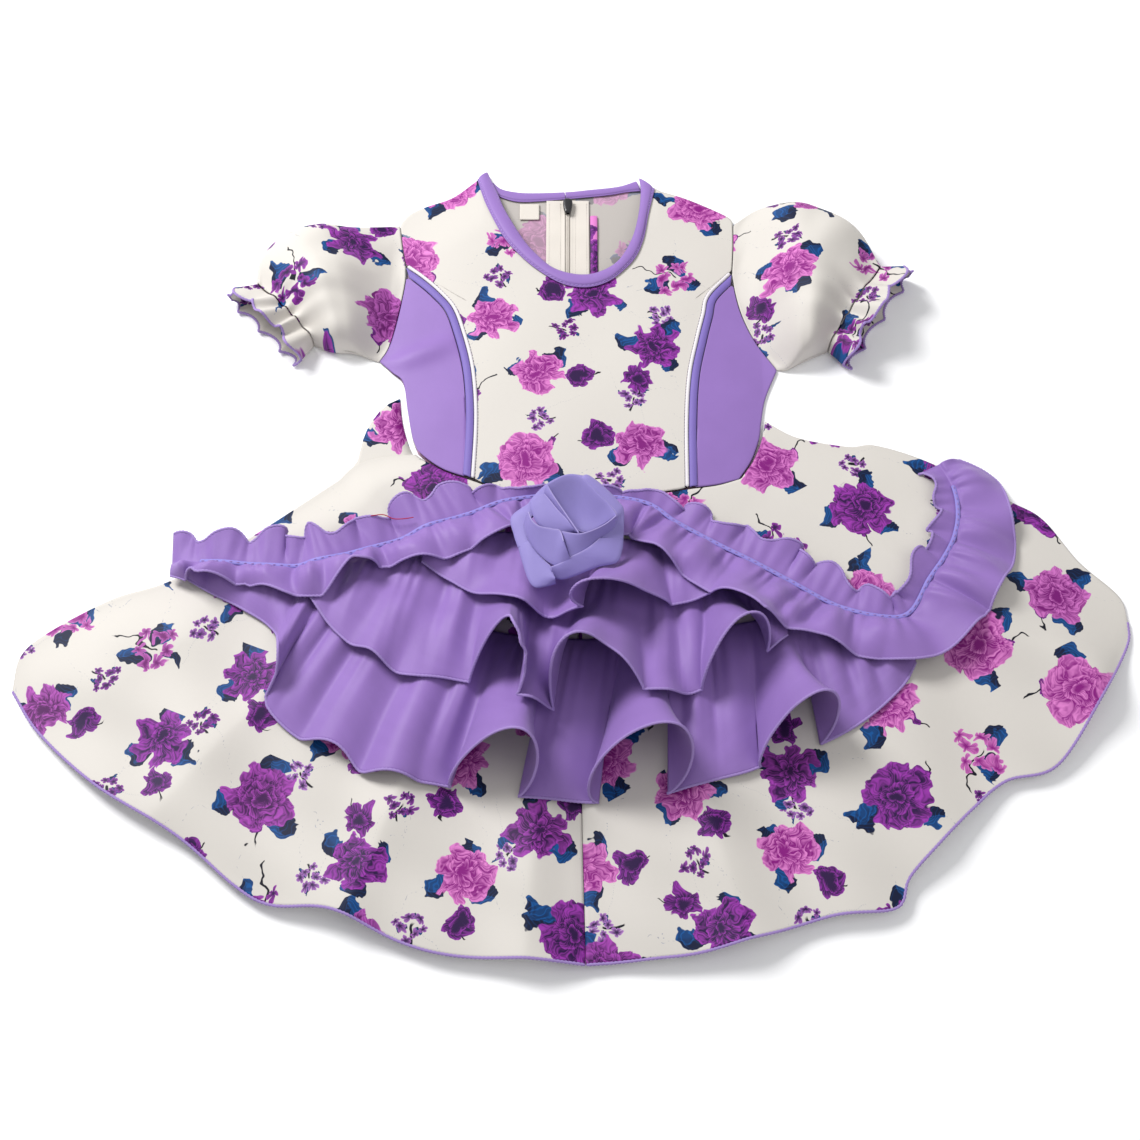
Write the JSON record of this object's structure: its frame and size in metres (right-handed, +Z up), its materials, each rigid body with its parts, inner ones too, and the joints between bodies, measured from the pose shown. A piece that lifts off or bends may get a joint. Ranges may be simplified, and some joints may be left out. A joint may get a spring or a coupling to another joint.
{
  "type": "toddler's floral dress with fluted ruffles, laid flat",
  "caption": "Short puff-sleeved dress laid flat on its back, with piped princess seams, a flared skirt, fluted ruffle tiers and a folded ribbon rosette.",
  "frame": {"origin": "centre of the bounding box, on the surface that the dress lies on", "axes": "+X to the right as seen with the neck away from the viewer, +Y from the hem to the neck, +Z up from the surface"},
  "size_m": [0.6976, 0.5841, 0.0724],
  "materials": {
    "floral_cloth": "ivory satin with a flower print",
    "lavender_cloth": "plain lavender satin",
    "rosette_ribbon": "plain periwinkle cloth",
    "white_trim": "white tape and cord",
    "zip_metal": "black enamel"
  },
  "bodies": {
    "root": {"front_bodice": "floral_cloth", "back_bodice_left": "floral_cloth", "back_bodice_right": "floral_cloth", "side_front_left": "lavender_cloth", "side_front_right": "lavender_cloth", "princess_strip_left": "lavender_cloth", "princess_strip_right": "lavender_cloth", "princess_piping_left": "white_trim", "princess_piping_right": "white_trim", "neck_binding_front": "lavender_cloth", "neck_binding_back_left": "lavender_cloth", "neck_binding_back_right": "lavender_cloth", "zip_tape_left": "white_trim", "zip_tape_right": "white_trim", "zip_chain": "white_trim", "zip_slider": "zip_metal", "size_label": "white_trim", "sleeve_left": "floral_cloth", "sleeve_right": "floral_cloth", "cuff_frill_left": "floral_cloth", "cuff_frill_right": "floral_cloth", "skirt_front_left": "floral_cloth", "skirt_front_right": "floral_cloth", "skirt_back_left": "floral_cloth", "skirt_back_right": "floral_cloth", "tier_1": "lavender_cloth", "tier_2": "lavender_cloth", "tier_3": "lavender_cloth", "tier_4": "lavender_cloth", "gathering_cord": "lavender_cloth", "rosette_band_1": "rosette_ribbon", "rosette_band_2": "rosette_ribbon", "rosette_band_3": "rosette_ribbon", "rosette_band_4": "rosette_ribbon", "rosette_band_5": "rosette_ribbon", "rosette_band_6": "rosette_ribbon"}
  },
  "joints": []
}
